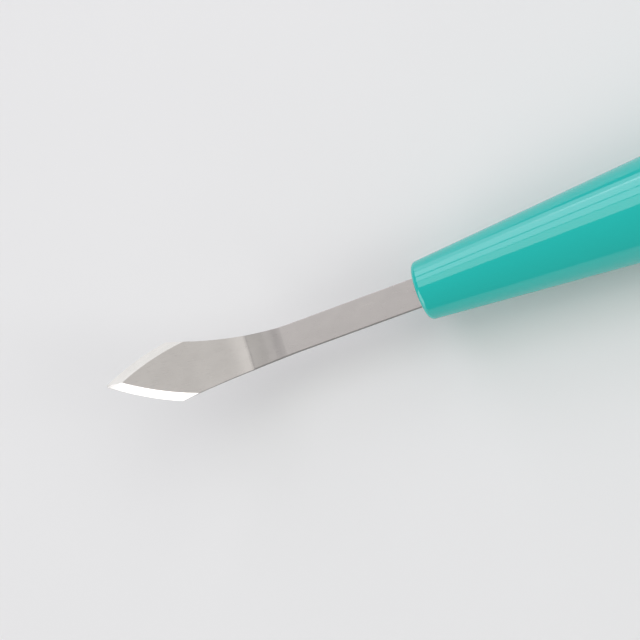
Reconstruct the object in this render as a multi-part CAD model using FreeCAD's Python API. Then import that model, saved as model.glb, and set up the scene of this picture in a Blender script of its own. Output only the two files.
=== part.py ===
import FreeCAD, Part
import math
import os

from FreeCAD import Vector

# A fixed-blade prying tool for electronics work, in millimetres.
# Frame: the origin is the centre of the flat butt face. +X points out of the butt, along the
# handle's axis, so the tip of the blade is at the far -X end. +Z is the side that the blade
# bends up towards. The tool is symmetric about the XZ plane.

# ---------------------------------------------------------------- driving dimensions

# handle, outside
HANDLE_LENGTH = 110.0       # nose face to butt face
NOSE_WALL = 1.4             # plastic round the socket, at the nose
NOSE_ROUND = 0.85           # rounding of the nose's rim
CONE_ANGLE = 4.61           # half angle of the front cone, degrees
BELLY_DIAMETER = 16.4       # straight grip stretch
BELLY_LENGTH = 16.0
FRONT_BLEND = 8.0           # tangent length of the arc from the cone to the belly
REAR_BLEND = 6.0            # tangent length of the arc from the belly to the rear taper
BUTT_DIAMETER = 12.6        # rear taper carried on to the butt face
BUTT_ROUND = 2.6            # rounding of the butt's rim
JOINT_CHAMFER = 0.25        # each side of the visible line between shell and plug

# strip blade
STRIP_WIDTH = 4.5
STRIP_THICKNESS = 0.9
STRIP_REACH = 22.2          # nose face to the start of the bend
SHOULDER_DEPTH = 3.0        # full-width strip inside the nose
TANG_WIDTH = 3.6
TANG_CHAMFER = 0.8          # corners of the tang's end

# bend, measured along the blade's middle surface
BEND_RADIUS = 13.9
BEND_ANGLE = 23.0
SWEEP_RADIUS = 31.2         # gentler curve that goes on behind the head
SWEEP_ANGLE = 17.4

# arrow head, measured along the blade from the start of the bend
FLARE_START = -1.9
HEAD_WIDTH = 9.2
CORNER_AT = 17.7            # where the flare ends and the ground edges begin
TIP_AT = 28.6
FLARE_POWER = 1.77          # 1 is a straight flare, 2 is nearly an arc
EDGE_BULGE = 0.38           # outward bow of each ground edge
BEVEL_WIDTH = 1.17
EDGE_LAND = 0.14            # thickness left at the edge
TIP_BLUNTING = 0.25         # taken off the sharp point

# what holds the tang
PIN_DIAMETER = 1.5
PIN_INSET = 8.0             # nose face to the first pin
PIN_SPACING = 9.0
TANG_TAIL = 4.0             # tang beyond the second pin
PIN_CAP = 0.35              # each end of a pin is below the carrier's surface
CARRIER_SIDE_WALL = 0.75
CARRIER_END_WALL = 2.7
CATCH_LENGTH = 1.6          # snap catch behind the socket's shoulder
CATCH_STEP = 0.4
KEY_WIDTH = 1.2
KEY_DEPTH = 0.35
SOCKET_STEP = 0.9           # socket radius to core radius

# end plug
PLUG_CAP = 5.0              # visible length
PLUG_SPIGOT = 8.0
PLUG_BORE_DEPTH = 8.5       # recess in the back of the spigot, to keep the wall even
BUTT_WALL = 1.6
PLUG_WALL = 1.5
BEAD_STEP = 0.25
BEAD_LENGTH = 1.2
BEAD_SHARE = 0.55           # how far along the spigot the bead's middle is
SEAT_GAP = 1.0              # straight bore beyond the spigot's end
SEAT_STEP = 0.1             # small step where the bore meets the tapered core

# clearances between neighbours, on each side
TANG_CLEARANCE = 0.04
CARRIER_CLEARANCE = 0.05
PIN_CLEARANCE = 0.01
PIN_HOLE_CLEARANCE = 0.05   # in the tang
PLUG_CLEARANCE = 0.05

# how the shapes are made
CUT_MARGIN = 1.0            # how far a cutting solid runs past the face that it opens
JOIN_OVERLAP = 0.5          # how far the spigot runs into the cap before they are fused
FLARE_SECTIONS = 12         # sections along the flare's loft
NOSE_ROUND_LIMIT = 0.8      # the nose's rounding is at most this share of its wall

# ---------------------------------------------------------------- worked out from them

NOSE_X = -HANDLE_LENGTH
CARRIER_RADIUS = STRIP_WIDTH / 2 + TANG_CLEARANCE + CARRIER_SIDE_WALL
SOCKET_RADIUS = CARRIER_RADIUS + CARRIER_CLEARANCE
NOSE_RADIUS = SOCKET_RADIUS + NOSE_WALL
BELLY_RADIUS = BELLY_DIAMETER / 2
BUTT_RADIUS = BUTT_DIAMETER / 2

TANG_LENGTH = PIN_INSET + PIN_SPACING + TANG_TAIL
CARRIER_LENGTH = TANG_LENGTH + CARRIER_END_WALL
SOCKET_LENGTH = CARRIER_LENGTH - CATCH_LENGTH - 2 * CARRIER_CLEARANCE
CATCH_RADIUS = CARRIER_RADIUS + CATCH_STEP
CORE_RADIUS = SOCKET_RADIUS + SOCKET_STEP

CONE_SLOPE = math.tan(math.radians(CONE_ANGLE))
CONE_END = NOSE_X + (BELLY_RADIUS - NOSE_RADIUS) / CONE_SLOPE
BELLY_START = CONE_END + FRONT_BLEND
BELLY_END = BELLY_START + BELLY_LENGTH
TAPER_START = BELLY_END + REAR_BLEND
TAPER_SLOPE = (BELLY_RADIUS - BUTT_RADIUS) / -TAPER_START

BEND_END = BEND_RADIUS * math.radians(BEND_ANGLE)
SWEEP_END = BEND_END + SWEEP_RADIUS * math.radians(SWEEP_ANGLE)
HEAD_ANGLE = math.radians(BEND_ANGLE + SWEEP_ANGLE)
BEND_X = NOSE_X - STRIP_REACH


def revolved(wire):
    """Turn a closed profile in the XZ plane about the handle's axis."""
    return Part.Face(wire).revolve(Vector(0, 0, 0), Vector(1, 0, 0), 360)


def cylinder(radius, length, x):
    return Part.makeCylinder(radius, length, Vector(x, 0, 0), Vector(1, 0, 0))


def centred_box(x_low, x_high, width, z_low, z_high):
    size = (x_high - x_low, width, z_high - z_low)
    return Part.makeBox(*size, Vector(x_low, -width / 2, z_low))


# ---------------------------------------------------------------- handle


def taper_radius(x):
    """Outside radius on the rear taper."""
    return BUTT_RADIUS - TAPER_SLOPE * x


def shell_profile():
    """The handle's outside, from the nose's axis to the joint with the plug."""
    joint_x = -PLUG_CAP
    nose_round = min(NOSE_ROUND, NOSE_ROUND_LIMIT * NOSE_WALL)
    cone_dir = Vector(math.cos(math.radians(CONE_ANGLE)), 0, math.sin(math.radians(CONE_ANGLE)))
    nose_corner = Vector(NOSE_X, 0, NOSE_RADIUS)
    # the rim's arc is tangent to the nose face and to the cone
    half_turn = math.radians(90 - CONE_ANGLE) / 2
    tangent = nose_round * math.tan(half_turn)
    rim_in = nose_corner - Vector(0, 0, tangent)
    rim_out = nose_corner + cone_dir * tangent
    rim_centre = rim_in + Vector(nose_round, 0, 0)
    rim_mid = rim_centre + (nose_corner - rim_centre).normalize() * nose_round

    front_low = Vector(CONE_END, 0, BELLY_RADIUS) - cone_dir * FRONT_BLEND
    front_high = Vector(BELLY_START, 0, BELLY_RADIUS)
    blend_radius = FRONT_BLEND / math.tan(math.radians(CONE_ANGLE) / 2)
    turn = math.radians(CONE_ANGLE) / 2
    front_mid = Vector(
        BELLY_START - blend_radius * math.sin(turn),
        0,
        BELLY_RADIUS - blend_radius * (1 - math.cos(turn)),
    )

    taper_angle = math.atan(TAPER_SLOPE)
    rear_radius = REAR_BLEND / math.tan(taper_angle / 2)
    rear_low = Vector(BELLY_END, 0, BELLY_RADIUS)
    rear_mid = Vector(
        BELLY_END + rear_radius * math.sin(taper_angle / 2),
        0,
        BELLY_RADIUS - rear_radius * (1 - math.cos(taper_angle / 2)),
    )
    rear_high = Vector(
        BELLY_END + rear_radius * math.sin(taper_angle),
        0,
        BELLY_RADIUS - rear_radius * (1 - math.cos(taper_angle)),
    )
    chamfer_out = Vector(joint_x - JOINT_CHAMFER, 0, taper_radius(joint_x - JOINT_CHAMFER))
    chamfer_in = Vector(joint_x, 0, taper_radius(joint_x) - JOINT_CHAMFER)
    return [
        Part.LineSegment(Vector(NOSE_X, 0, 0), rim_in),
        Part.Arc(rim_in, rim_mid, rim_out),
        Part.LineSegment(rim_out, front_low),
        Part.Arc(front_low, front_mid, front_high),
        Part.LineSegment(front_high, rear_low),
        Part.Arc(rear_low, rear_mid, rear_high),
        Part.LineSegment(rear_high, chamfer_out),
        Part.LineSegment(chamfer_out, chamfer_in),
        Part.LineSegment(chamfer_in, Vector(joint_x, 0, 0)),
        Part.LineSegment(Vector(joint_x, 0, 0), Vector(NOSE_X, 0, 0)),
    ]


def plug_bore_radius():
    return taper_radius(-PLUG_CAP) - BUTT_WALL


def bead_span():
    """X range of the snap bead on the plug's spigot."""
    middle = -PLUG_CAP - PLUG_SPIGOT * BEAD_SHARE
    return middle - BEAD_LENGTH / 2, middle + BEAD_LENGTH / 2


def hollow_core():
    """Tapered space from the socket's shoulder to the plug's seat, open at the rear."""
    front_x = NOSE_X + SOCKET_LENGTH
    seat_x = -PLUG_CAP - PLUG_SPIGOT - SEAT_GAP
    bore = plug_bore_radius()
    points = [
        Vector(front_x, 0, 0),
        Vector(front_x, 0, CORE_RADIUS),
        Vector(seat_x, 0, bore - SEAT_STEP),
        Vector(seat_x, 0, bore),
        Vector(-PLUG_CAP + CUT_MARGIN, 0, bore),
        Vector(-PLUG_CAP + CUT_MARGIN, 0, 0),
    ]
    return revolved(Part.makePolygon(points + points[:1]))


def handle_shell():
    body = revolved(Part.Wire([edge.toShape() for edge in shell_profile()]))
    socket = cylinder(SOCKET_RADIUS, SOCKET_LENGTH + 2 * CUT_MARGIN, NOSE_X - CUT_MARGIN)
    key_depth = SOCKET_RADIUS + KEY_DEPTH + CARRIER_CLEARANCE
    keyway = centred_box(
        NOSE_X - CUT_MARGIN,
        NOSE_X + SOCKET_LENGTH + CUT_MARGIN,
        KEY_WIDTH + 2 * CARRIER_CLEARANCE,
        -key_depth,
        0,
    )
    bead_low, bead_high = bead_span()
    groove = cylinder(
        plug_bore_radius() + BEAD_STEP,
        bead_high - bead_low + 2 * PLUG_CLEARANCE,
        bead_low - PLUG_CLEARANCE,
    )
    return body.cut([socket, keyway, hollow_core(), groove])


def end_plug():
    """Rounded cap with a hollow snap spigot. Its rear face is the tool's butt face."""
    joint_x = -PLUG_CAP
    outer = taper_radius(joint_x)
    round_in = Vector(0, 0, BUTT_RADIUS - BUTT_ROUND)
    round_out = Vector(-BUTT_ROUND, 0, taper_radius(-BUTT_ROUND))
    centre = Vector(-BUTT_ROUND, 0, BUTT_RADIUS - BUTT_ROUND)
    round_mid = centre + Vector(1, 0, 1).normalize() * BUTT_ROUND
    corner = Vector(joint_x + JOINT_CHAMFER, 0, taper_radius(joint_x + JOINT_CHAMFER))
    chamfer_in = Vector(joint_x, 0, outer - JOINT_CHAMFER)
    profile = [
        Part.LineSegment(Vector(0, 0, 0), round_in),
        Part.Arc(round_in, round_mid, round_out),
        Part.LineSegment(round_out, corner),
        Part.LineSegment(corner, chamfer_in),
        Part.LineSegment(chamfer_in, Vector(joint_x, 0, 0)),
        Part.LineSegment(Vector(joint_x, 0, 0), Vector(0, 0, 0)),
    ]
    cap = revolved(Part.Wire([edge.toShape() for edge in profile]))
    spigot_radius = plug_bore_radius() - PLUG_CLEARANCE
    spigot = cylinder(spigot_radius, PLUG_SPIGOT + JOIN_OVERLAP, joint_x - PLUG_SPIGOT)
    bead_low, bead_high = bead_span()
    bead = cylinder(spigot_radius + BEAD_STEP, bead_high - bead_low, bead_low)
    recess_x = joint_x - PLUG_SPIGOT - CUT_MARGIN
    recess = cylinder(spigot_radius - PLUG_WALL, PLUG_BORE_DEPTH + CUT_MARGIN, recess_x)
    return cap.fuse([spigot, bead]).cut(recess).removeSplitter()


# ---------------------------------------------------------------- carrier and pins


def pin_places():
    return [NOSE_X + PIN_INSET, NOSE_X + PIN_INSET + PIN_SPACING]


def carrier_round():
    """Both halves of the tang carrier as one round insert with a snap catch at its rear."""
    rear_x = NOSE_X + CARRIER_LENGTH
    catch_x = rear_x - CATCH_LENGTH
    lead_in = CATCH_LENGTH / 2
    points = [
        Vector(NOSE_X, 0, 0),
        Vector(NOSE_X, 0, CARRIER_RADIUS),
        Vector(catch_x, 0, CARRIER_RADIUS),
        Vector(catch_x, 0, CATCH_RADIUS),
        Vector(rear_x - lead_in, 0, CATCH_RADIUS),
        Vector(rear_x, 0, CATCH_RADIUS - lead_in / 2),
        Vector(rear_x, 0, 0),
    ]
    return revolved(Part.makePolygon(points + points[:1]))


def tang_carrier(side):
    """One half of the carrier: side is +1 above the tang and -1 below it."""
    rear_x = NOSE_X + CARRIER_LENGTH
    half = centred_box(
        NOSE_X - CUT_MARGIN, rear_x + CUT_MARGIN, 4 * CARRIER_RADIUS, 0, 2 * CARRIER_RADIUS
    )
    depth = STRIP_THICKNESS / 2 + TANG_CLEARANCE
    shoulder_x = NOSE_X + SHOULDER_DEPTH + TANG_CLEARANCE
    tang_x = NOSE_X + TANG_LENGTH + TANG_CLEARANCE
    strip_seat = centred_box(
        NOSE_X - CUT_MARGIN, shoulder_x, STRIP_WIDTH + 2 * TANG_CLEARANCE, -depth, depth
    )
    tang_seat = centred_box(NOSE_X, tang_x, TANG_WIDTH + 2 * TANG_CLEARANCE, -depth, depth)
    bores = [
        Part.makeCylinder(
            PIN_DIAMETER / 2 + PIN_CLEARANCE, 4 * CARRIER_RADIUS, Vector(x, 0, -2 * CARRIER_RADIUS)
        )
        for x in pin_places()
    ]
    if side < 0:
        half = half.mirror(Vector(0, 0, 0), Vector(0, 0, 1))
    piece = carrier_round().common(half)
    if side < 0:
        key = centred_box(
            NOSE_X,
            NOSE_X + SOCKET_LENGTH - CARRIER_CLEARANCE,
            KEY_WIDTH,
            -CARRIER_RADIUS - KEY_DEPTH,
            -CARRIER_RADIUS + KEY_DEPTH,
        )
        piece = piece.fuse(key)
    return piece.cut([strip_seat, tang_seat] + bores).removeSplitter()


def tang_pins():
    half_length = CARRIER_RADIUS - PIN_CAP
    pins = [
        Part.makeCylinder(PIN_DIAMETER / 2, 2 * half_length, Vector(x, 0, -half_length))
        for x in pin_places()
    ]
    return Part.Compound(pins)


# ---------------------------------------------------------------- blade


def blade_point(s, height):
    """A point in the XZ plane, s along the blade from the start of the bend, height above its
    middle surface."""
    bend = min(max(s, 0), BEND_END) / BEND_RADIUS
    sweep = min(max(s - BEND_END, 0), SWEEP_END - BEND_END) / SWEEP_RADIUS
    angle = bend + sweep
    x = BEND_X - min(s, 0) - BEND_RADIUS * math.sin(bend)
    z = BEND_RADIUS * (1 - math.cos(bend))
    x -= SWEEP_RADIUS * (math.sin(angle) - math.sin(bend))
    z += SWEEP_RADIUS * (math.cos(bend) - math.cos(angle))
    beyond = max(s - SWEEP_END, 0)
    x -= beyond * math.cos(angle)
    z += beyond * math.sin(angle)
    return Vector(x + height * math.sin(angle), 0, z + height * math.cos(angle))


def half_width(s):
    """Half of the blade's width, where it flares from the strip to the head's corners."""
    share = max(s - FLARE_START, 0) / (CORNER_AT - FLARE_START)
    return STRIP_WIDTH / 2 + (HEAD_WIDTH - STRIP_WIDTH) / 2 * share**FLARE_POWER


def shank():
    """Straight strip and its stepped tang with two pin holes."""
    z = STRIP_THICKNESS / 2
    shoulder_x = NOSE_X + SHOULDER_DEPTH
    end_x = NOSE_X + TANG_LENGTH
    strip = centred_box(BEND_X - FLARE_START, shoulder_x, STRIP_WIDTH, -z, z)
    outline = [
        Vector(shoulder_x, -TANG_WIDTH / 2, -z),
        Vector(end_x - TANG_CHAMFER, -TANG_WIDTH / 2, -z),
        Vector(end_x, -TANG_WIDTH / 2 + TANG_CHAMFER, -z),
        Vector(end_x, TANG_WIDTH / 2 - TANG_CHAMFER, -z),
        Vector(end_x - TANG_CHAMFER, TANG_WIDTH / 2, -z),
        Vector(shoulder_x, TANG_WIDTH / 2, -z),
    ]
    tang = Part.Face(Part.makePolygon(outline + outline[:1])).extrude(Vector(0, 0, 2 * z))
    holes = [
        Part.makeCylinder(
            PIN_DIAMETER / 2 + PIN_HOLE_CLEARANCE, 4 * z, Vector(x, 0, -2 * z)
        )
        for x in pin_places()
    ]
    return strip.fuse(tang).cut(holes)


def bent_plate():
    """The blade's side profile from the flare to the end of the sweep, as a wide bent plate."""
    low, high = -STRIP_THICKNESS / 2, STRIP_THICKNESS / 2
    stops = [FLARE_START, 0, BEND_END, SWEEP_END]

    def side(height):
        edges = [Part.LineSegment(blade_point(stops[0], height), blade_point(stops[1], height))]
        for start, end in zip(stops[1:], stops[2:]):
            middle = (start + end) / 2
            edges.append(
                Part.Arc(
                    blade_point(start, height),
                    blade_point(middle, height),
                    blade_point(end, height),
                )
            )
        return edges

    ends = [Part.LineSegment(blade_point(s, low), blade_point(s, high)) for s in stops[::3]]
    edges = [edge.toShape() for edge in side(low) + side(high) + ends]
    face = Part.Face(Part.Wire(Part.__sortEdges__(edges)))
    face.translate(Vector(0, -HEAD_WIDTH, 0))
    return face.extrude(Vector(0, 2 * HEAD_WIDTH, 0))


def flare():
    """The bent plate trimmed to the flare's outline, square to the blade all along."""
    height = STRIP_THICKNESS
    wires = []
    for i in range(FLARE_SECTIONS + 1):
        s = FLARE_START + (SWEEP_END - FLARE_START) * i / FLARE_SECTIONS
        across = Vector(0, half_width(s), 0)
        low, high = blade_point(s, -height), blade_point(s, height)
        wires.append(
            Part.makePolygon(
                [low - across, low + across, high + across, high - across, low - across]
            )
        )
    return bent_plate().common(Part.makeLoft(wires, True, False))


def grinding_disc(side):
    """A disc with a double-bevelled rim whose edge is one of the head's ground edges. It is
    laid out flat: X is minus the distance along the blade, Z is the blade's normal."""
    corner = Vector(-CORNER_AT, side * HEAD_WIDTH / 2, 0)
    tip = Vector(-TIP_AT, 0, 0)
    chord = tip - corner
    radius = chord.Length**2 / (8 * EDGE_BULGE) + EDGE_BULGE / 2
    inward = Vector(-chord.y, chord.x, 0).normalize() * side
    if inward.y * side > 0:
        inward = -inward
    centre = (corner + tip) / 2 + inward * (radius - EDGE_BULGE)
    half, land = STRIP_THICKNESS / 2, EDGE_LAND / 2
    margin = STRIP_THICKNESS
    slope = BEVEL_WIDTH / (half - land)
    inner = radius - BEVEL_WIDTH - margin * slope
    points = [
        Vector(0, 0, -half - margin),
        Vector(inner, 0, -half - margin),
        Vector(radius, 0, -land),
        Vector(radius, 0, land),
        Vector(inner, 0, half + margin),
        Vector(0, 0, half + margin),
    ]
    profile = Part.Face(Part.makePolygon(points + points[:1]))
    disc = profile.revolve(Vector(0, 0, 0), Vector(0, 0, 1), 360)
    disc.translate(centre)
    return disc


def head():
    """The flat arrow head, laid out flat, ground on both edges and set at the bend's angle."""
    z = STRIP_THICKNESS / 2
    root, middle = SWEEP_END, (SWEEP_END + CORNER_AT) / 2
    flare_edge = [Vector(-s, half_width(s), -z) for s in (root, middle, CORNER_AT)]
    mirrored = [Vector(p.x, -p.y, p.z) for p in flare_edge]
    blunt = Vector(-TIP_AT + TIP_BLUNTING, HEAD_WIDTH / 2, -z)
    blunt_low = Vector(blunt.x, -blunt.y, -z)
    outline = [
        Part.Arc(*flare_edge),
        Part.LineSegment(flare_edge[-1], blunt),
        Part.LineSegment(blunt, blunt_low),
        Part.LineSegment(blunt_low, mirrored[-1]),
        Part.Arc(*mirrored),
        Part.LineSegment(mirrored[0], flare_edge[0]),
    ]
    wire = Part.Wire(Part.__sortEdges__([edge.toShape() for edge in outline]))
    plate = Part.Face(wire).extrude(Vector(0, 0, 2 * z))
    ground = plate.common(grinding_disc(1)).common(grinding_disc(-1))
    ground.rotate(Vector(0, 0, 0), Vector(0, 1, 0), math.degrees(HEAD_ANGLE))
    origin = blade_point(SWEEP_END, 0)
    flat_root = Vector(-SWEEP_END * math.cos(HEAD_ANGLE), 0, SWEEP_END * math.sin(HEAD_ANGLE))
    ground.translate(origin - flat_root)
    return ground


def blade():
    return shank().fuse([flare(), head()]).removeSplitter()


# ---------------------------------------------------------------- write the nodes

NODES = {
    "handle_shell": handle_shell(),
    "end_plug": end_plug(),
    "tang_carrier_upper": tang_carrier(1),
    "tang_carrier_lower": tang_carrier(-1),
    "tang_pins": tang_pins(),
    "blade": blade(),
}

os.makedirs("parts", exist_ok=True)
for name, shape in NODES.items():
    shape.exportStep(f"parts/{name}.step")
    box = shape.optimalBoundingBox()
    print(
        f"{name}: {len(shape.Solids)} solid(s), valid {shape.isValid()}, "
        f"volume {shape.Volume:.1f}, x {box.XMin:.2f}..{box.XMax:.2f}, "
        f"y {box.YMin:.2f}..{box.YMax:.2f}, z {box.ZMin:.2f}..{box.ZMax:.2f}"
    )
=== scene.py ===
import math

import bmesh
import bpy
from bpy.props import FloatProperty, FloatVectorProperty, IntProperty, PointerProperty
from mathutils import Matrix, Vector


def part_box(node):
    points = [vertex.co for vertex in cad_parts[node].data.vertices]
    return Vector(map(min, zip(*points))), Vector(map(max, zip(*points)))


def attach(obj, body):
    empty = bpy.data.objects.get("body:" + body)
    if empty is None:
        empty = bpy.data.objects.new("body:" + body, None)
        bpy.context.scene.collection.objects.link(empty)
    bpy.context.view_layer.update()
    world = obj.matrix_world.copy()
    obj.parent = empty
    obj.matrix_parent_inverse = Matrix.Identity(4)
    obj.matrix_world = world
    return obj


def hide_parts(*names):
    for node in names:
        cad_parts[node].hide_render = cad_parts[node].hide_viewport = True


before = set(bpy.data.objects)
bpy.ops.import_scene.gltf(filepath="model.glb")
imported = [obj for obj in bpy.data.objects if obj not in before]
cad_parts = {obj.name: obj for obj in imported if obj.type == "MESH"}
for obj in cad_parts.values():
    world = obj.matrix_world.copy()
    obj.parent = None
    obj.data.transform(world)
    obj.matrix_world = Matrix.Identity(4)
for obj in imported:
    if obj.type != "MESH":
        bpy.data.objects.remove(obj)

bl_info = {
    "name": "Bent-blade spudger",
    "version": (1, 0, 0),
    "blender": (4, 5, 0),
    "location": "View3D > Sidebar > Spudger",
    "description": "Gloss round handle, end plug and bent arrow-head blade, on a plain stage",
    "category": "Add Mesh",
}

MM = 0.001
BODY = "root"

# Hidden details of the handle and of its plug.
BEAD_SHARE = 0.55               # how far along the spigot the snap bead's middle is
SEAT_GAP = 1.0 * MM             # straight bore beyond the spigot's end
SEAT_STEP = 0.1 * MM            # small step where the bore meets the hollow
CAP_FLOOR = 0.5 * MM            # how far the plug's hollow runs into its cap

# Making the blade.
GRIND_PASSES = 14               # narrow flats along each ground edge
RUN_OUT_PASSES = 3              # bevel passes that run out over the flare
GRIND_WELD = 0.015 * MM         # vertices closer than this after grinding are one
STRAY_EDGE = 0.05 * MM          # edges shorter than this near the corners are closed up
RUN_OUT_REACH = 3 * MM          # how far behind the corners such edges can be
NO_LENGTH = 1e-6                # edges shorter than this are dissolved, in metres
ON_STATION = 1e-6               # a vertex this close to a cross-section is on it, in metres
SMOOTH_TURN = 8                 # edges that turn less, in degrees, are shaded smooth
FLAT_UP = 0.99                  # a face whose normal is more upright than this is a flat
BEVEL_UP = 0.8                  # a face less upright than this is a side
SATIN, GROUND, SHEARED = 0, 1, 2    # the blade's materials, in order

# All pieces.
SAME_PLACE = 1e-7               # vertices this close are one, in metres
SQUARE_TURN = 50                # edges that turn more, in degrees, are square

# Soft lights: name, lean and turn in degrees, width along X and height in metres, radiance, tint.
PANEL_DISTANCE = 1.0
WHITE = (1.0, 1.0, 1.0)
COOL = (1.0, 0.95, 1.07)
PANELS = (
    ("overhead_bank", 17, -19, 0.48, 0.37, 1.5, WHITE),
    ("gap_bank", 10, 3, 0.14, 0.9, 1.1, WHITE),
    ("crease_bank", 12, 21.5, 0.46, 0.8, 0.91, WHITE),
    ("side_bank_high", 37.5, -14, 0.56, 0.29, 2.2, COOL),
    ("side_bank_middle", 60, -14, 0.56, 0.35, 2.35, COOL),
    ("side_bank_low", 79, -14, 0.56, 0.19, 1.5, COOL),
    ("head_bank", 36, 52, 1.2, 1.2, 0.95, WHITE),
    ("bevel_bank", -32, 49, 0.42, 0.42, 2.8, WHITE),
    ("fill_bank", -52, -58, 0.9, 0.9, 2.3, WHITE),
)
SKY_COLOUR = (0.96, 0.98, 1.0, 1)
SKY_STRENGTH = 0.3

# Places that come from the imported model: X runs along the handle, tip at the far -X end.
SHELL_LOW, SHELL_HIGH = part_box("handle_shell")
PLUG_LOW, PLUG_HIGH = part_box("end_plug")
BLADE_LOW, BLADE_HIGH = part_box("blade")

NOSE_X = SHELL_LOW.x
JOINT_X = SHELL_HIGH.x
BUTT_X = PLUG_HIGH.x
SPIGOT_END_X = PLUG_LOW.x


def length(name, description, default):
    return FloatProperty(
        name=name, description=description, default=default, subtype="DISTANCE", unit="LENGTH",
        precision=5,
    )


def angle(name, description, degrees):
    return FloatProperty(
        name=name, description=description, default=math.radians(degrees), subtype="ANGLE"
    )


def colour(name, description, default):
    return FloatVectorProperty(
        name=name, description=description, default=default, size=3, subtype="COLOR",
        min=0, max=1,
    )


class HandleSizes(bpy.types.PropertyGroup):
    """Sizes of the moulded handle and of its end plug."""

    nose_radius: length("Nose radius", "Radius of the nose face before rounding", 4.49 * MM)
    nose_round: length("Nose rounding", "Rounding radius of the nose's rim", 0.85 * MM)
    mouth_radius: length("Mouth radius", "Radius of the socket that holds the insert", 3.09 * MM)
    mouth_chamfer: length("Mouth chamfer", "Chamfer at the socket's mouth", 0.12 * MM)
    socket_depth: length("Socket depth", "Length of the socket behind the nose", 22.0 * MM)
    key_width: length("Key width", "Width of the slot for the insert's key", 1.3 * MM)
    key_depth: length("Key depth", "Depth of that slot beyond the socket's wall", 0.4 * MM)
    cone_angle: angle("Cone angle", "Half angle of the front cone", 4.61)
    belly_radius: length("Belly radius", "Radius of the straight grip", SHELL_HIGH.y)
    belly_length: length("Belly length", "Length of the straight grip", 16.0 * MM)
    front_blend: length("Front blend", "Reach of the curve from cone to belly", 8.0 * MM)
    rear_blend: length("Rear blend", "Reach of the curve from belly to taper", 6.0 * MM)
    butt_radius: length("Butt radius", "Radius of the taper carried on to the butt", 6.3 * MM)
    butt_round: length("Butt rounding", "Rounding radius of the butt's rim", 2.6 * MM)
    joint_chamfer: length("Joint chamfer", "Chamfer each side of the plug's joint", 0.25 * MM)
    core_radius: length("Core radius", "Radius of the hollow behind the socket", 3.99 * MM)
    butt_wall: length("Butt wall", "Wall round the plug's spigot", 1.6 * MM)
    plug_wall: length("Plug wall", "Wall of the plug's hollow spigot", 1.5 * MM)
    bead_step: length("Bead step", "Height of the snap bead", 0.25 * MM)
    bead_length: length("Bead length", "Length of the snap bead", 1.2 * MM)
    clearance: length("Clearance", "Gap round the spigot", 0.05 * MM)
    turns: IntProperty(name="Facets", description="Facets round the handle", default=160, min=16)


class BladeSizes(bpy.types.PropertyGroup):
    """Sizes of the blade, measured along it from the start of its bend."""

    thickness: length("Thickness", "Thickness of the strip", -2 * BLADE_LOW.z)
    strip_width: length("Strip width", "Width of the straight strip", 4.5 * MM)
    strip_reach: length("Strip reach", "Nose face to the start of the bend", 22.2 * MM)
    shoulder_depth: length("Shoulder depth", "Full-width strip inside the nose", 3.0 * MM)
    tang_length: length("Tang length", "Nose face to the tang's end", BLADE_HIGH.x - NOSE_X)
    tang_width: length("Tang width", "Width of the tang", 3.6 * MM)
    tang_chamfer: length("Tang chamfer", "Corners of the tang's end", 0.8 * MM)
    pin_inset: length("Pin inset", "Nose face to the first pin hole", 8.0 * MM)
    pin_spacing: length("Pin spacing", "Distance between the pin holes", 9.0 * MM)
    pin_hole: length("Pin hole", "Radius of the pin holes", 0.8 * MM)
    bend_radius: length("Bend radius", "Radius of the first bend", 13.9 * MM)
    bend_angle: angle("Bend angle", "Turn of the first bend", 23.0)
    sweep_radius: length("Sweep radius", "Radius of the gentler curve", 31.2 * MM)
    sweep_angle: angle("Sweep angle", "Turn of the gentler curve", 17.4)
    flare_start: length("Flare start", "Where the strip begins to widen", -1.9 * MM)
    head_width: length("Head width", "Width over the head's corners", 2 * BLADE_HIGH.y)
    corner_at: length("Corner", "Distance to the head's corners", 17.7 * MM)
    tip_at: length("Tip", "Distance to the sharp tip", 28.6 * MM)
    tip_blunting: length("Tip blunting", "Taken off the sharp tip", 0.28 * MM)
    flare_power: FloatProperty(
        name="Flare power", description="1 is a straight flare, 2 is nearly an arc", default=1.77
    )
    edge_bulge: length("Edge bulge", "Outward bow of each ground edge", 0.38 * MM)
    bevel_width: length("Bevel width", "Width of each ground bevel", 1.17 * MM)
    edge_land: length("Edge land", "Thickness left at the ground edge", 0.14 * MM)
    edge_round: length("Edge rounding", "Rounding of the strip's long edges", 0.08 * MM)
    crease: angle("Crease", "Sudden turn at each end of the first bend", 3.5)
    brake_mark: length("Brake mark", "Depth of the press mark at the end of the bend", 0.03 * MM)
    brake_width: length("Brake width", "Half width of the press mark", 0.17 * MM)


class Finishes(bpy.types.PropertyGroup):
    """Colours of the tool and of its stage."""

    teal: colour("Teal", "Gloss plastic of the handle", (0.006, 0.48, 0.425))
    teal_deep: colour("Deep teal", "Streaks in the gloss plastic", (0.005, 0.455, 0.405))
    insert: colour("Insert", "Satin plastic of the tang's carrier", (0.010, 0.235, 0.210))
    steel: colour("Steel", "Satin faces of the blade", (0.396, 0.374, 0.355))
    ground: colour("Ground steel", "Fresh ground bevels", (0.72, 0.70, 0.68))
    sheared: colour("Sheared edge", "Narrow sides of the strip", (0.33, 0.32, 0.31))
    pin: colour("Pin", "Ground dowels", (0.66, 0.65, 0.64))
    pin_dull: colour("Dull pin", "Deeper rings of the dowels", (0.55, 0.54, 0.53))
    floor: colour("Floor", "Pale floor", (0.78, 0.78, 0.77))


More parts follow.
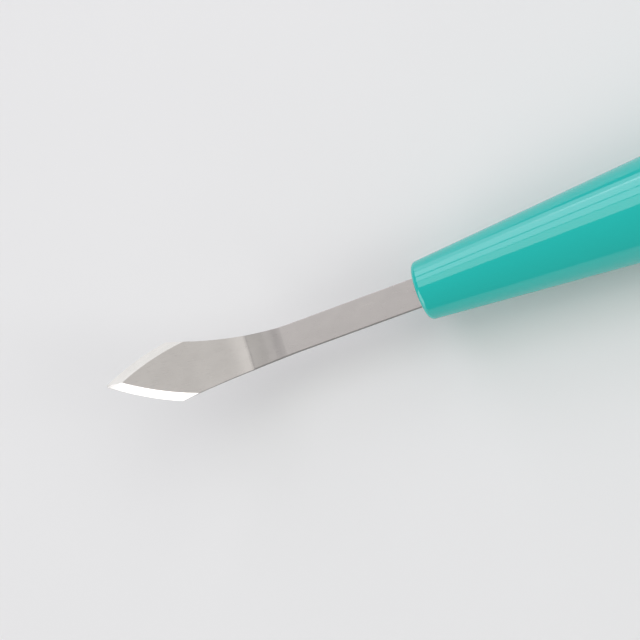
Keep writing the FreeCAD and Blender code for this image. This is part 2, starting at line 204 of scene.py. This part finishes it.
class StageSizes(bpy.types.PropertyGroup):
    """Camera and floor."""

    lens: FloatProperty(name="Lens", description="Focal length in mm", default=108.3)
    distance: length("Distance", "Camera to the point that it looks at", 284.5 * MM)
    azimuth: angle("Azimuth", "Camera's turn round the upright axis", 51.79)
    elevation: angle("Elevation", "Camera's height above the floor", 72.73)
    roll: angle("Roll", "Camera's turn about its own line of sight", -70.67)
    look_back: length("Look back", "Point looked at, ahead of the nose", 15.0 * MM)
    look_aside: length("Look aside", "Point looked at, beside the axis", 0.5 * MM)
    look_up: length("Look up", "Point looked at, above the axis", 3.75 * MM)
    floor_size: length("Floor size", "Side of the square floor", 12.0)


# ---------------------------------------------------------------- small helpers


def sizes(name):
    return getattr(bpy.context.scene, name)


def wire_profile(bm, corners):
    """A closed wire through (x, radius) corners, in the XZ plane. Returns its vertices."""
    verts = [bm.verts.new((x, 0, radius)) for x, radius in corners]
    for start, end in zip(verts, verts[1:] + verts[:1]):
        bm.edges.new((start, end))
    return verts


def cut_corner(bm, vert, reach, segments):
    """Round a profile's corner over reach each way, or chamfer it with one segment."""
    bmesh.ops.bevel(
        bm, geom=[vert], offset=reach, offset_type="OFFSET", segments=segments, profile=0.5,
        affect="VERTICES", clamp_overlap=False, material=-1,
    )


def turn_profile(bm, facets, longest):
    """Divide a profile's long edges, then spin it about the handle's axis."""
    for edge in list(bm.edges):
        cuts = int(edge.calc_length() / longest)
        if cuts:
            bmesh.ops.subdivide_edges(bm, edges=[edge], cuts=cuts)
    bmesh.ops.spin(
        bm, geom=bm.verts[:] + bm.edges[:], cent=(0, 0, 0), axis=(1, 0, 0), dvec=(0, 0, 0),
        angle=2 * math.pi, steps=facets, use_merge=True, use_duplicate=False,
    )
    bmesh.ops.remove_doubles(bm, verts=bm.verts[:], dist=SAME_PLACE)
    bmesh.ops.recalc_face_normals(bm, faces=bm.faces[:])


def add_piece(bm, name, materials, sharp_degrees=None):
    """Turn a bmesh into an object at the origin, shaded smooth up to an angle if one is given."""
    mesh = bpy.data.meshes.new(name)
    bm.to_mesh(mesh)
    bm.free()
    if sharp_degrees:
        mesh.shade_smooth()
        mesh.set_sharp_from_angle(angle=math.radians(sharp_degrees))
    for material in materials:
        mesh.materials.append(material)
    piece = bpy.data.objects.new(name, mesh)
    bpy.context.scene.collection.objects.link(piece)
    return piece


def keep_flats(piece, mode="FACE_AREA"):
    """Let the broad faces set the shading, so that reflections run straight along them."""
    flats = piece.modifiers.new("flats", "WEIGHTED_NORMAL")
    flats.mode = mode
    flats.weight = 50
    flats.keep_sharp = True
    return flats


def stand_for(piece, node):
    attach(piece, BODY)
    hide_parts(node)


# ---------------------------------------------------------------- materials


def new_material(name, roughness, metallic=0.0):
    material = bpy.data.materials.new(name)
    material.use_nodes = True
    tree = material.node_tree
    shader = tree.nodes["Principled BSDF"]
    shader.inputs["Roughness"].default_value = roughness
    shader.inputs["Metallic"].default_value = metallic
    return material, tree, shader


def add_node(tree, kind, values=None, **settings):
    node = tree.nodes.new(kind)
    for key, value in settings.items():
        setattr(node, key, value)
    for key, value in (values or {}).items():
        node.inputs[key].default_value = value
    return node


def stretch(tree, source, scale):
    mapping = add_node(tree, "ShaderNodeMapping", {"Scale": scale})
    tree.links.new(source, mapping.inputs["Vector"])
    return mapping.outputs["Vector"]


def object_point(tree, *scale):
    """Object coordinates, in metres, multiplied by scale."""
    return stretch(tree, add_node(tree, "ShaderNodeTexCoord").outputs["Object"], scale)


def grain_point(tree, *scale):
    """The blade's own sheet, unrolled: X across it and Y along it, in millimetres."""
    return stretch(tree, add_node(tree, "ShaderNodeUVMap", uv_map="grain").outputs["UV"], scale)


def noise(tree, point, detail=2.0, roughness=0.5):
    node = add_node(
        tree, "ShaderNodeTexNoise", {"Scale": 1.0, "Detail": detail, "Roughness": roughness},
    )
    tree.links.new(point, node.inputs["Vector"])
    return node.outputs["Fac"]


def remap(tree, source, low, high, new_low, new_high):
    node = add_node(
        tree, "ShaderNodeMapRange",
        {"From Min": low, "From Max": high, "To Min": new_low, "To Max": new_high},
    )
    tree.links.new(source, node.inputs["Value"])
    return node.outputs["Result"]


def combine(tree, operation, first, second):
    node = add_node(tree, "ShaderNodeMath", operation=operation)
    for socket, value in zip(node.inputs, (first, second)):
        tree.links.new(value, socket)
    return node.outputs["Value"]


def paint(tree, shader, factor, first, second):
    """Mix two colours by a factor into the shader's base colour."""
    node = add_node(tree, "ShaderNodeMix", data_type="RGBA")
    tree.links.new(factor, node.inputs["Factor"])
    for key, value in (("A", first), ("B", second)):
        socket = next(s for s in node.inputs if s.name == key and s.type == "RGBA")
        socket.default_value = (*value, 1)
    mixed = next(s for s in node.outputs if s.type == "RGBA")
    tree.links.new(mixed, shader.inputs["Base Color"])


def dim(colour_value, share):
    return tuple(share * channel for channel in colour_value)


def add_bump(tree, shader, height, distance):
    bump = add_node(tree, "ShaderNodeBump", {"Distance": distance, "Strength": 1.0})
    tree.links.new(height, bump.inputs["Height"])
    tree.links.new(bump.outputs["Normal"], shader.inputs["Normal"])


def gloss_teal():
    """High-gloss moulded plastic: faint flow streaks, orange peel and hairline marks."""
    finish = sizes("spudger_finishes")
    material, tree, shader = new_material("gloss_teal_moulding", 0.08)
    shader.inputs["Specular IOR Level"].default_value = 0.75
    flow = noise(tree, object_point(tree, 14, 60, 60), 3.0)
    paint(tree, shader, remap(tree, flow, 0.3, 0.7, 0, 1), finish.teal, finish.teal_deep)
    haze = remap(tree, noise(tree, object_point(tree, 260, 260, 260)), 0.35, 0.7, 0.05, 0.1)
    hair = noise(tree, object_point(tree, 70, 2600, 2600), 1.0)
    marks = remap(tree, hair, 0.72, 0.80, 0.0, 0.16)
    tree.links.new(combine(tree, "ADD", haze, marks), shader.inputs["Roughness"])
    peel = noise(tree, object_point(tree, 620, 620, 620), 1.0)
    add_bump(tree, shader, peel, 0.0016 * MM)
    return material


def satin_insert():
    """Satin plastic of the split insert, with a fine spark-eroded texture."""
    finish = sizes("spudger_finishes")
    material, tree, shader = new_material("satin_insert_plastic", 0.42)
    grain = noise(tree, object_point(tree, 5200, 5200, 5200))
    shade = remap(tree, noise(tree, object_point(tree, 300, 300, 300)), 0.3, 0.7, 0, 1)
    paint(tree, shader, shade, finish.insert, dim(finish.insert, 0.82))
    tree.links.new(remap(tree, grain, 0.3, 0.7, 0.36, 0.5), shader.inputs["Roughness"])
    add_bump(tree, shader, grain, 0.012 * MM)
    return material


def pin_steel():
    """Centreless-ground dowel: rings of fine lines round its axis."""
    finish = sizes("spudger_finishes")
    material, tree, shader = new_material("ground_pin_steel", 0.25, 1.0)
    rings = noise(tree, object_point(tree, 700, 700, 16000))
    shade = remap(tree, rings, 0.3, 0.7, 0, 1)
    paint(tree, shader, shade, finish.pin_dull, finish.pin)
    tree.links.new(remap(tree, rings, 0.3, 0.7, 0.2, 0.32), shader.inputs["Roughness"])
    add_bump(tree, shader, rings, 0.0015 * MM)
    return material


def brushed(name, colour_value, roughness, grain_scale, anisotropy, contrast, depth):
    """Steel with drawn grain: streaks, cloudy patches and a few cross scratches. depth is
    the grain's height."""
    material, tree, shader = new_material(name, roughness, 1.0)
    shader.inputs["Anisotropic"].default_value = anisotropy
    tangent = add_node(tree, "ShaderNodeTangent", direction_type="UV_MAP", uv_map="grain")
    tree.links.new(tangent.outputs["Tangent"], shader.inputs["Tangent"])
    fine = noise(tree, grain_point(tree, *grain_scale), 3.0, 0.6)
    cloud = noise(tree, grain_point(tree, 0.5, 0.28, 1))
    streak = remap(tree, fine, 0.3, 0.7, 1 - contrast, 1 + contrast * 0.4)
    patch = remap(tree, cloud, 0.3, 0.7, 0.965, 1.02)
    level = combine(tree, "MULTIPLY", streak, patch)
    shade = remap(tree, level, 0.8, 1.0, 0, 1)
    paint(tree, shader, shade, dim(colour_value, 0.8), colour_value)
    scratch = noise(tree, grain_point(tree, 0.9, 26, 1), 0.0)
    marks = remap(tree, scratch, 0.76, 0.84, 0.0, 0.012)
    drawn = remap(tree, fine, 0.25, 0.75, roughness * 0.86, roughness * 1.14)
    tree.links.new(combine(tree, "ADD", drawn, marks), shader.inputs["Roughness"])
    add_bump(tree, shader, fine, depth)
    return material


def blade_steels():
    """The blade's materials, in the order of SATIN, GROUND and SHEARED."""
    finish = sizes("spudger_finishes")
    satin = brushed(
        "satin_blade_steel", finish.steel, roughness=0.30, grain_scale=(16, 0.45, 1),
        anisotropy=0.7, contrast=0.04, depth=0.0006 * MM,
    )
    ground = brushed(
        "ground_bevel_steel", finish.ground, roughness=0.22, grain_scale=(22, 0.7, 1),
        anisotropy=0.5, contrast=0.08, depth=0.0009 * MM,
    )
    sheared = brushed(
        "sheared_edge_steel", finish.sheared, roughness=0.42, grain_scale=(9, 3, 1),
        anisotropy=0.2, contrast=0.2, depth=0.003 * MM,
    )
    return [satin, ground, sheared]


def floor_finish():
    """Pale matt board with a faint tooth."""
    finish = sizes("spudger_finishes")
    material, tree, shader = new_material("pale_floor", 0.6)
    shader.inputs["Specular IOR Level"].default_value = 0.3
    cloud = remap(tree, noise(tree, object_point(tree, 9, 9, 9), 3.0), 0.3, 0.7, 0, 1)
    paint(tree, shader, cloud, finish.floor, dim(finish.floor, 0.97))
    tooth = noise(tree, object_point(tree, 900, 900, 900))
    add_bump(tree, shader, tooth, 0.008 * MM)
    return material


# ---------------------------------------------------------------- handle and plug


def belly_corners(size):
    """Where the front cone's line meets the belly's, and the belly's the rear taper's."""
    cone_end = NOSE_X + (size.belly_radius - size.nose_radius) / math.tan(size.cone_angle)
    return cone_end, cone_end + size.front_blend + size.belly_length + size.rear_blend


def taper_radius(x):
    """Outside radius of the rear taper, the same line on shell and plug."""
    size = sizes("spudger_handle")
    taper_start = belly_corners(size)[1]
    share = (x - taper_start) / (BUTT_X - taper_start)
    return size.belly_radius + (size.butt_radius - size.belly_radius) * share


def bead_span():
    """X range of the snap bead and of its groove."""
    size = sizes("spudger_handle")
    middle = JOINT_X + (SPIGOT_END_X - JOINT_X) * BEAD_SHARE
    return middle - size.bead_length / 2, middle + size.bead_length / 2


def cut_away(bm, cutter, name):
    """Subtract one closed bmesh from another. Returns the cut bmesh."""
    piece = add_piece(bm, name, [])
    tool = add_piece(cutter, name + "_cutter", [])
    cut = piece.modifiers.new("cut", "BOOLEAN")
    cut.operation = "DIFFERENCE"
    cut.solver = "EXACT"
    cut.object = tool
    evaluated = piece.evaluated_get(bpy.context.evaluated_depsgraph_get())
    bm = bmesh.new()
    bm.from_mesh(evaluated.to_mesh())
    evaluated.to_mesh_clear()
    for spent in (piece, tool):
        bpy.data.objects.remove(spent)
    return bm


def keyway_cutter(size):
    """The slot along the socket's underside that the insert's key slides in."""
    bm = bmesh.new()
    bmesh.ops.create_cube(bm, size=1)
    deep = size.mouth_radius + size.key_depth
    bmesh.ops.scale(bm, verts=bm.verts[:], vec=(2 * size.socket_depth, size.key_width, deep))
    bmesh.ops.translate(bm, verts=bm.verts[:], vec=(NOSE_X, 0, -deep / 2))
    return bm


def shell_mesh():
    """The hollow handle as one spun wall, outside and inside."""
    size = sizes("spudger_handle")
    cone_end, taper_start = belly_corners(size)
    bore = taper_radius(JOINT_X) - size.butt_wall
    seat_x = SPIGOT_END_X - SEAT_GAP
    bead_low, bead_high = bead_span()
    gap = size.clearance
    bm = bmesh.new()
    corners = wire_profile(bm, [
        (NOSE_X, size.mouth_radius),
        (NOSE_X, size.nose_radius),
        (cone_end, size.belly_radius),
        (taper_start, size.belly_radius),
        (JOINT_X, taper_radius(JOINT_X)),
        (JOINT_X, bore),
        (bead_high + gap, bore),
        (bead_high + gap, bore + size.bead_step),
        (bead_low - gap, bore + size.bead_step),
        (bead_low - gap, bore),
        (seat_x, bore),
        (seat_x, bore - SEAT_STEP),
        (NOSE_X + size.socket_depth, size.core_radius),
        (NOSE_X + size.socket_depth, size.mouth_radius),
    ])
    mouth, nose, cone, taper, joint = corners[:5]
    rim_reach = size.nose_round * math.tan((math.pi / 2 - size.cone_angle) / 2)
    cut_corner(bm, mouth, size.mouth_chamfer, 3)
    cut_corner(bm, nose, rim_reach, 12)
    cut_corner(bm, cone, size.front_blend, 24)
    cut_corner(bm, taper, size.rear_blend, 24)
    cut_corner(bm, joint, size.joint_chamfer, 4)
    turn_profile(bm, size.turns, 3 * MM)
    return cut_away(bm, keyway_cutter(size), "keyed_shell")


def plug_mesh():
    """The rounded cap and its hollow spigot as one spun solid."""
    size = sizes("spudger_handle")
    spigot = taper_radius(JOINT_X) - size.butt_wall - size.clearance
    hollow = spigot - size.plug_wall
    floor_x = JOINT_X + CAP_FLOOR
    bead_low, bead_high = bead_span()
    bm = bmesh.new()
    corners = wire_profile(bm, [
        (BUTT_X, 0),
        (BUTT_X, size.butt_radius),
        (JOINT_X, taper_radius(JOINT_X)),
        (JOINT_X, spigot),
        (bead_high, spigot),
        (bead_high, spigot + size.bead_step),
        (bead_low, spigot + size.bead_step),
        (bead_low, spigot),
        (SPIGOT_END_X, spigot),
        (SPIGOT_END_X, hollow),
        (floor_x, hollow),
        (floor_x, 0),
    ])
    axis_edge = bm.edges.get((corners[-1], corners[0]))
    bm.edges.remove(axis_edge)
    butt, joint = corners[1:3]
    cut_corner(bm, butt, size.butt_round, 16)
    cut_corner(bm, joint, size.joint_chamfer, 4)
    turn_profile(bm, size.turns, 2 * MM)
    return bm


# ---------------------------------------------------------------- blade


class Grind:
    """The two ground edges: each follows the rim of a large disc, seen from above the flat
    blank. s is the distance along the blade and v the distance from its centre line."""

    def __init__(self, size):
        half_head = size.head_width / 2
        along, across = size.tip_at - size.corner_at, -half_head
        chord = math.hypot(along, across)
        self.radius = chord**2 / (8 * size.edge_bulge) + size.edge_bulge / 2
        reach = self.radius - size.edge_bulge
        self.s = (size.tip_at + size.corner_at) / 2 - half_head / chord * reach
        self.v = half_head / 2 - along / chord * reach
        self.slope = math.atan2(size.thickness / 2 - size.edge_land / 2, size.bevel_width)
        self.corner_turn = math.atan2(size.corner_at - self.s, half_head - self.v)
        self.tip_turn = math.atan2(size.tip_at - self.s, -self.v)

    def place(self, s, v):
        """Turn round the disc and distance inside its rim."""
        turn = math.atan2(s - self.s, abs(v) - self.v)
        return turn, self.radius - math.hypot(s - self.s, abs(v) - self.v)


def spread(start, end, count):
    """count values from start, up to but without end."""
    return [start + (end - start) * i / count for i in range(count)]


def curve_ends(size):
    """Where the first bend and the sweep end, along the blade."""
    bend_end = size.bend_radius * size.bend_angle
    return bend_end, bend_end + size.sweep_radius * size.sweep_angle


def flare_half_width(size, s):
    share = max(s - size.flare_start, 0.0) / (size.corner_at - size.flare_start)
    half_strip, half_head = size.strip_width / 2, size.head_width / 2
    return half_strip + (half_head - half_strip) * share**size.flare_power


def blank_stations(size):
    """(distance along the blade, half width) of the square-sided blank's cross-sections."""
    bend_end, sweep_end = curve_ends(size)
    tang_end = -size.strip_reach - size.tang_length
    shoulder = -size.strip_reach - size.shoulder_depth
    half_tang, half_strip = size.tang_width / 2, size.strip_width / 2
    stations = [
        (tang_end, half_tang - size.tang_chamfer),
        (tang_end + size.tang_chamfer, half_tang),
        (shoulder, half_tang),
        (shoulder, half_strip),
        (-size.strip_reach, half_strip),
        (-size.strip_reach / 2, half_strip),
    ]
    mark = 2 * size.brake_width
    places = spread(size.flare_start, 0, 4)
    places += spread(0, bend_end - mark, 26)
    places += spread(bend_end - mark, bend_end + mark, 12)
    places += spread(bend_end + mark, sweep_end, 24)
    places += [sweep_end, size.corner_at]
    stations += [(s, flare_half_width(size, s)) for s in places]
    stations.append((size.tip_at, size.head_width / 2))
    return stations


def extruded_blank(size):
    """Extrude the strip's section through its stations. X is minus the distance along."""
    stations = blank_stations(size)
    half = size.thickness / 2
    bm = bmesh.new()
    s, width = stations[0]
    section = [(-s, v, h) for v, h in (
        (0, half), (width, half), (width, -half), (0, -half), (-width, -half), (-width, half),
    )]
    verts = [bm.verts.new(co) for co in section]
    ring = [bm.edges.new(pair) for pair in zip(verts, verts[1:] + verts[:1])]
    for next_s, next_width in stations[1:]:
        grown = bmesh.ops.extrude_edge_only(bm, edges=ring)["geom"]
        verts = [g for g in grown if isinstance(g, bmesh.types.BMVert)]
        ring = [g for g in grown if isinstance(g, bmesh.types.BMEdge)]
        bmesh.ops.translate(bm, verts=verts, vec=(s - next_s, 0, 0))
        bmesh.ops.scale(bm, verts=verts, vec=(1, next_width / width, 1))
        s, width = next_s, next_width
    close_holes(bm)
    bmesh.ops.recalc_face_normals(bm, faces=bm.faces[:])
    return bm


def close_holes(bm):
    rims = [edge for edge in bm.edges if edge.is_boundary]
    if rims:
        bmesh.ops.holes_fill(bm, edges=rims, sides=0)


def grind_away(bm, point, normal):
    """Take off everything beyond a plane and close the cut."""
    bmesh.ops.bisect_plane(
        bm, geom=bm.verts[:] + bm.edges[:] + bm.faces[:], dist=SAME_PLACE, plane_co=point,
        plane_no=normal, clear_outer=True, clear_inner=False,
    )
    close_holes(bm)


def grind_head(bm, size):
    """Cut the head's outline, then its four ground bevels, in narrow passes round the disc."""
    grind = Grind(size)
    step = (grind.tip_turn - grind.corner_turn) / GRIND_PASSES
    edge_height = size.edge_land / 2
    for side in (1, -1):
        for i in range(-RUN_OUT_PASSES, GRIND_PASSES + 1):
            turn = grind.corner_turn + i * step
            out = Vector((-math.sin(turn), side * math.cos(turn), 0))
            rim = Vector((-grind.s, side * grind.v, 0)) + out * grind.radius
            if i >= 0:
                grind_away(bm, rim, out)
            for face in (1, -1):
                lean = Vector((0, 0, face * math.cos(grind.slope)))
                grind_away(bm, rim + Vector((0, 0, face * edge_height)),
                           out * math.sin(grind.slope) + lean)
    grind_away(bm, Vector((size.tip_blunting - size.tip_at, 0, 0)), Vector((-1, 0, 0)))
    bmesh.ops.remove_doubles(bm, verts=bm.verts[:], dist=GRIND_WELD)
    bmesh.ops.dissolve_degenerate(bm, edges=bm.edges[:], dist=NO_LENGTH)
    near = size.corner_at - RUN_OUT_REACH
    stray = [
        edge for edge in bm.edges
        if edge.calc_length() < STRAY_EDGE
        and -edge.verts[0].co.x > near
        and abs(edge.verts[0].co.y) > size.strip_width / 2
    ]
    bmesh.ops.collapse(bm, edges=stray, uvs=False)


def drill_tang(bm, size):
    """Cut the two pin holes through the tang. Returns the drilled bmesh."""
    drills = bmesh.new()
    for inset in (size.pin_inset, size.pin_inset + size.pin_spacing):
        bmesh.ops.create_cone(
            drills, cap_ends=True, segments=32, radius1=size.pin_hole, radius2=size.pin_hole,
            depth=4 * size.thickness, matrix=Matrix.Translation((size.strip_reach + inset, 0, 0)),
        )
    return cut_away(bm, drills, "drilled_blank")


def lies_at(edge, s):
    return all(abs(vert.co.x + s) < ON_STATION for vert in edge.verts)


def mark_edges(bm, size):
    """Keep creases and ground lines crisp, and mark the outer edges up to the end of the bend
    for rounding."""
    weights = bm.edges.layers.float.new("bevel_weight_edge")
    bend_end = curve_ends(size)[0]
    bm.normal_update()
    for edge in bm.edges:
        if len(edge.link_faces) != 2:
            raise RuntimeError("the blade's blank is not closed")
        turn = math.degrees(edge.calc_face_angle())
        s = -sum(vert.co.x for vert in edge.verts) / 2
        rounded = turn > SQUARE_TURN and s < bend_end
        creased = lies_at(edge, 0) or lies_at(edge, bend_end)
        edge.smooth = rounded or (turn < SMOOTH_TURN and not creased)
        if rounded:
            edge[weights] = 1


def mark_faces(bm, size):
    """Give each face its steel, and lay the grain map on the flat blank."""
    grain = bm.loops.layers.uv.new("grain")
    grind = Grind(size)
    for face in bm.faces:
        centre = face.calc_center_median()
        side = 1 if centre.y >= 0 else -1
        up = abs(face.normal.z)
        face.smooth = True
        ground = up < FLAT_UP and (up > BEVEL_UP or -centre.x > size.corner_at)
        face.material_index = GROUND if ground else SATIN if up > FLAT_UP else SHEARED
        for loop in face.loops:
            x, y, z = loop.vert.co
            if face.material_index == GROUND:
                turn, inside = grind.place(-x, y)
                place = (side * inside, turn * grind.radius)
            elif face.material_index == SHEARED:
                place = (z, -x)
            else:
                place = (y, -x)
            loop[grain].uv = (place[0] / MM, place[1] / MM)


def bend_blank(bm, size):
    """Press the flat blank into its creased bend and its gentler sweep."""
    bend_end, sweep_end = curve_ends(size)
    arc_radius = bend_end / (size.bend_angle - 2 * size.crease)
    start = NOSE_X - size.strip_reach
    for vert in bm.verts:
        s, height = -vert.co.x, vert.co.z
        arc = size.crease + min(max(s, 0), bend_end) / arc_radius
        swept = min(max(s - bend_end, 0), sweep_end - bend_end)
        sweep = size.bend_angle + swept / size.sweep_radius
        x = start - min(s, 0) - arc_radius * (math.sin(arc) - math.sin(size.crease))
        z = arc_radius * (math.cos(size.crease) - math.cos(arc))
        x -= size.sweep_radius * (math.sin(sweep) - math.sin(size.bend_angle))
        z += size.sweep_radius * (math.cos(size.bend_angle) - math.cos(sweep))
        beyond = max(s - sweep_end, 0)
        x -= beyond * math.cos(sweep)
        z += beyond * math.sin(sweep)
        if s < -ON_STATION:
            turn = 0
        elif s < ON_STATION:
            turn = size.crease / 2
        elif s < bend_end - ON_STATION:
            turn = arc
        elif s < bend_end + ON_STATION:
            turn = arc + size.crease / 2
        else:
            turn = sweep
        if height > 0:
            height -= size.brake_mark * math.exp(-(((s - bend_end) / size.brake_width) ** 2))
        vert.co.x = x + height * math.sin(turn)
        vert.co.z = z + height * math.cos(turn)


def finish_edges(piece, width):
    """Round the marked edges, and keep broad faces flat in the light."""
    rounding = piece.modifiers.new("rounding", "BEVEL")
    rounding.limit_method = "WEIGHT"
    rounding.affect = "EDGES"
    rounding.width = width
    rounding.segments = 3
    rounding.profile = 0.5
    rounding.use_clamp_overlap = False
    rounding.face_strength_mode = "FSTR_AFFECTED"
    keep_flats(piece, "CORNER_ANGLE").use_face_influence = True


# ---------------------------------------------------------------- operators


class SPUDGER_OT_handle(bpy.types.Operator):
    """Turn the hollow gloss handle round its axis"""

    bl_idname = "spudger.handle"
    bl_label = "Handle"

    def execute(self, context):
        piece = add_piece(shell_mesh(), "handle_skin", [gloss_teal()], SQUARE_TURN)
        keep_flats(piece)
        stand_for(piece, "handle_shell")
        return {"FINISHED"}


class SPUDGER_OT_plug(bpy.types.Operator):
    """Turn the rounded plug that closes the handle"""

    bl_idname = "spudger.plug"
    bl_label = "End plug"

    def execute(self, context):
        plastic = bpy.data.materials.get("gloss_teal_moulding") or gloss_teal()
        piece = add_piece(plug_mesh(), "butt_plug", [plastic], SQUARE_TURN)
        keep_flats(piece)
        stand_for(piece, "end_plug")
        return {"FINISHED"}


class SPUDGER_OT_blade(bpy.types.Operator):
    """Blank, grind, bend and drill the blade"""

    bl_idname = "spudger.blade"
    bl_label = "Blade"

    def execute(self, context):
        size = context.scene.spudger_blade
        bm = extruded_blank(size)
        grind_head(bm, size)
        bm = drill_tang(bm, size)
        mark_edges(bm, size)
        mark_faces(bm, size)
        bend_blank(bm, size)
        piece = add_piece(bm, "bent_blade", blade_steels())
        finish_edges(piece, size.edge_round)
        stand_for(piece, "blade")
        return {"FINISHED"}


class SPUDGER_OT_inserts(bpy.types.Operator):
    """Finish the split carrier and its pins"""

    bl_idname = "spudger.inserts"
    bl_label = "Carrier and pins"

    def execute(self, context):
        plastic, steel = satin_insert(), pin_steel()
        finishes = {
            "tang_carrier_upper": plastic,
            "tang_carrier_lower": plastic,
            "tang_pins": steel,
        }
        for node, material in finishes.items():
            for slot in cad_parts[node].material_slots:
                slot.material = material
        return {"FINISHED"}


class SPUDGER_OT_stage(bpy.types.Operator):
    """Lay the pale floor, hang the soft lights and place the camera"""

    bl_idname = "spudger.stage"
    bl_label = "Stage"

    def execute(self, context):
        stage = context.scene.spudger_stage
        add_floor(stage)
        add_lights()
        add_camera(stage)
        return {"FINISHED"}


def add_floor(stage):
    bm = bmesh.new()
    bmesh.ops.create_grid(bm, x_segments=8, y_segments=8, size=stage.floor_size / 2)
    middle = (NOSE_X + BLADE_LOW.x) / 2
    bmesh.ops.translate(bm, verts=bm.verts[:], vec=(middle, 0, SHELL_LOW.z))
    add_piece(bm, "floor", [floor_finish()], 30)


def add_panel(name, lean, turn, width, tall, radiance, tint):
    """A soft rectangular light aimed at the blade's root. lean is its angle from overhead
    towards +Y and turn its angle towards +X."""
    aim = Vector((NOSE_X, 0, 0))
    lean, turn = math.radians(lean), math.radians(turn)
    away = Vector((
        math.sin(turn),
        math.cos(turn) * math.sin(lean),
        math.cos(turn) * math.cos(lean),
    ))
    light = bpy.data.lights.new(name, "AREA")
    light.shape = "RECTANGLE"
    light.size = width
    light.size_y = tall
    light.energy = radiance * math.pi * width * tall
    light.color = tint
    panel = bpy.data.objects.new(name, light)
    across = Vector((0, 1, 0)).cross(away).normalized()
    upright = away.cross(across)
    panel.matrix_world = Matrix((
        (across.x, upright.x, away.x, 0),
        (across.y, upright.y, away.y, 0),
        (across.z, upright.z, away.z, 0),
        (0, 0, 0, 1),
    ))
    panel.location = aim + away * PANEL_DISTANCE
    panel.visible_camera = False
    bpy.context.scene.collection.objects.link(panel)


def add_lights():
    for panel in PANELS:
        add_panel(*panel)
    world = bpy.data.worlds.new("studio")
    world.use_nodes = True
    background = world.node_tree.nodes["Background"]
    background.inputs["Color"].default_value = SKY_COLOUR
    background.inputs["Strength"].default_value = SKY_STRENGTH
    bpy.context.scene.world = world


def add_camera(stage):
    """Look at the exposed blade, with the camera turned about its own line of sight."""
    target = Vector((NOSE_X - stage.look_back, stage.look_aside, stage.look_up))
    azimuth, elevation = stage.azimuth, stage.elevation
    back = Vector((
        math.sin(azimuth) * math.cos(elevation),
        -math.cos(azimuth) * math.cos(elevation),
        math.sin(elevation),
    ))
    camera = bpy.data.objects.new("camera", bpy.data.cameras.new("camera"))
    camera.data.lens = stage.lens
    camera.data.clip_start = 0.01
    turn = back.to_track_quat("Z", "Y").to_matrix() @ Matrix.Rotation(stage.roll, 3, "Z")
    camera.matrix_world = Matrix.Translation(target + back * stage.distance) @ turn.to_4x4()
    bpy.context.scene.collection.objects.link(camera)
    bpy.context.scene.camera = camera


class SPUDGER_PT_tools(bpy.types.Panel):
    bl_label = "Spudger"
    bl_idname = "SPUDGER_PT_tools"
    bl_space_type = "VIEW_3D"
    bl_region_type = "UI"
    bl_category = "Spudger"

    def draw(self, context):
        for operator in OPERATORS:
            self.layout.operator(operator.bl_idname)


OPERATORS = (
    SPUDGER_OT_handle,
    SPUDGER_OT_plug,
    SPUDGER_OT_blade,
    SPUDGER_OT_inserts,
    SPUDGER_OT_stage,
)
GROUPS = {
    "spudger_handle": HandleSizes,
    "spudger_blade": BladeSizes,
    "spudger_finishes": Finishes,
    "spudger_stage": StageSizes,
}


def register():
    for group in GROUPS.values():
        bpy.utils.register_class(group)
    for name, group in GROUPS.items():
        setattr(bpy.types.Scene, name, PointerProperty(type=group))
    for operator in OPERATORS:
        bpy.utils.register_class(operator)
    bpy.utils.register_class(SPUDGER_PT_tools)


def unregister():
    bpy.utils.unregister_class(SPUDGER_PT_tools)
    for operator in reversed(OPERATORS):
        bpy.utils.unregister_class(operator)
    for name, group in GROUPS.items():
        delattr(bpy.types.Scene, name)
        bpy.utils.unregister_class(group)


def main():
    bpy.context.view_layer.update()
    register()
    bpy.context.scene.view_settings.view_transform = "Standard"
    bpy.ops.spudger.handle()
    bpy.ops.spudger.plug()
    bpy.ops.spudger.blade()
    bpy.ops.spudger.inserts()
    bpy.ops.spudger.stage()


if __name__ == "__main__":
    main()
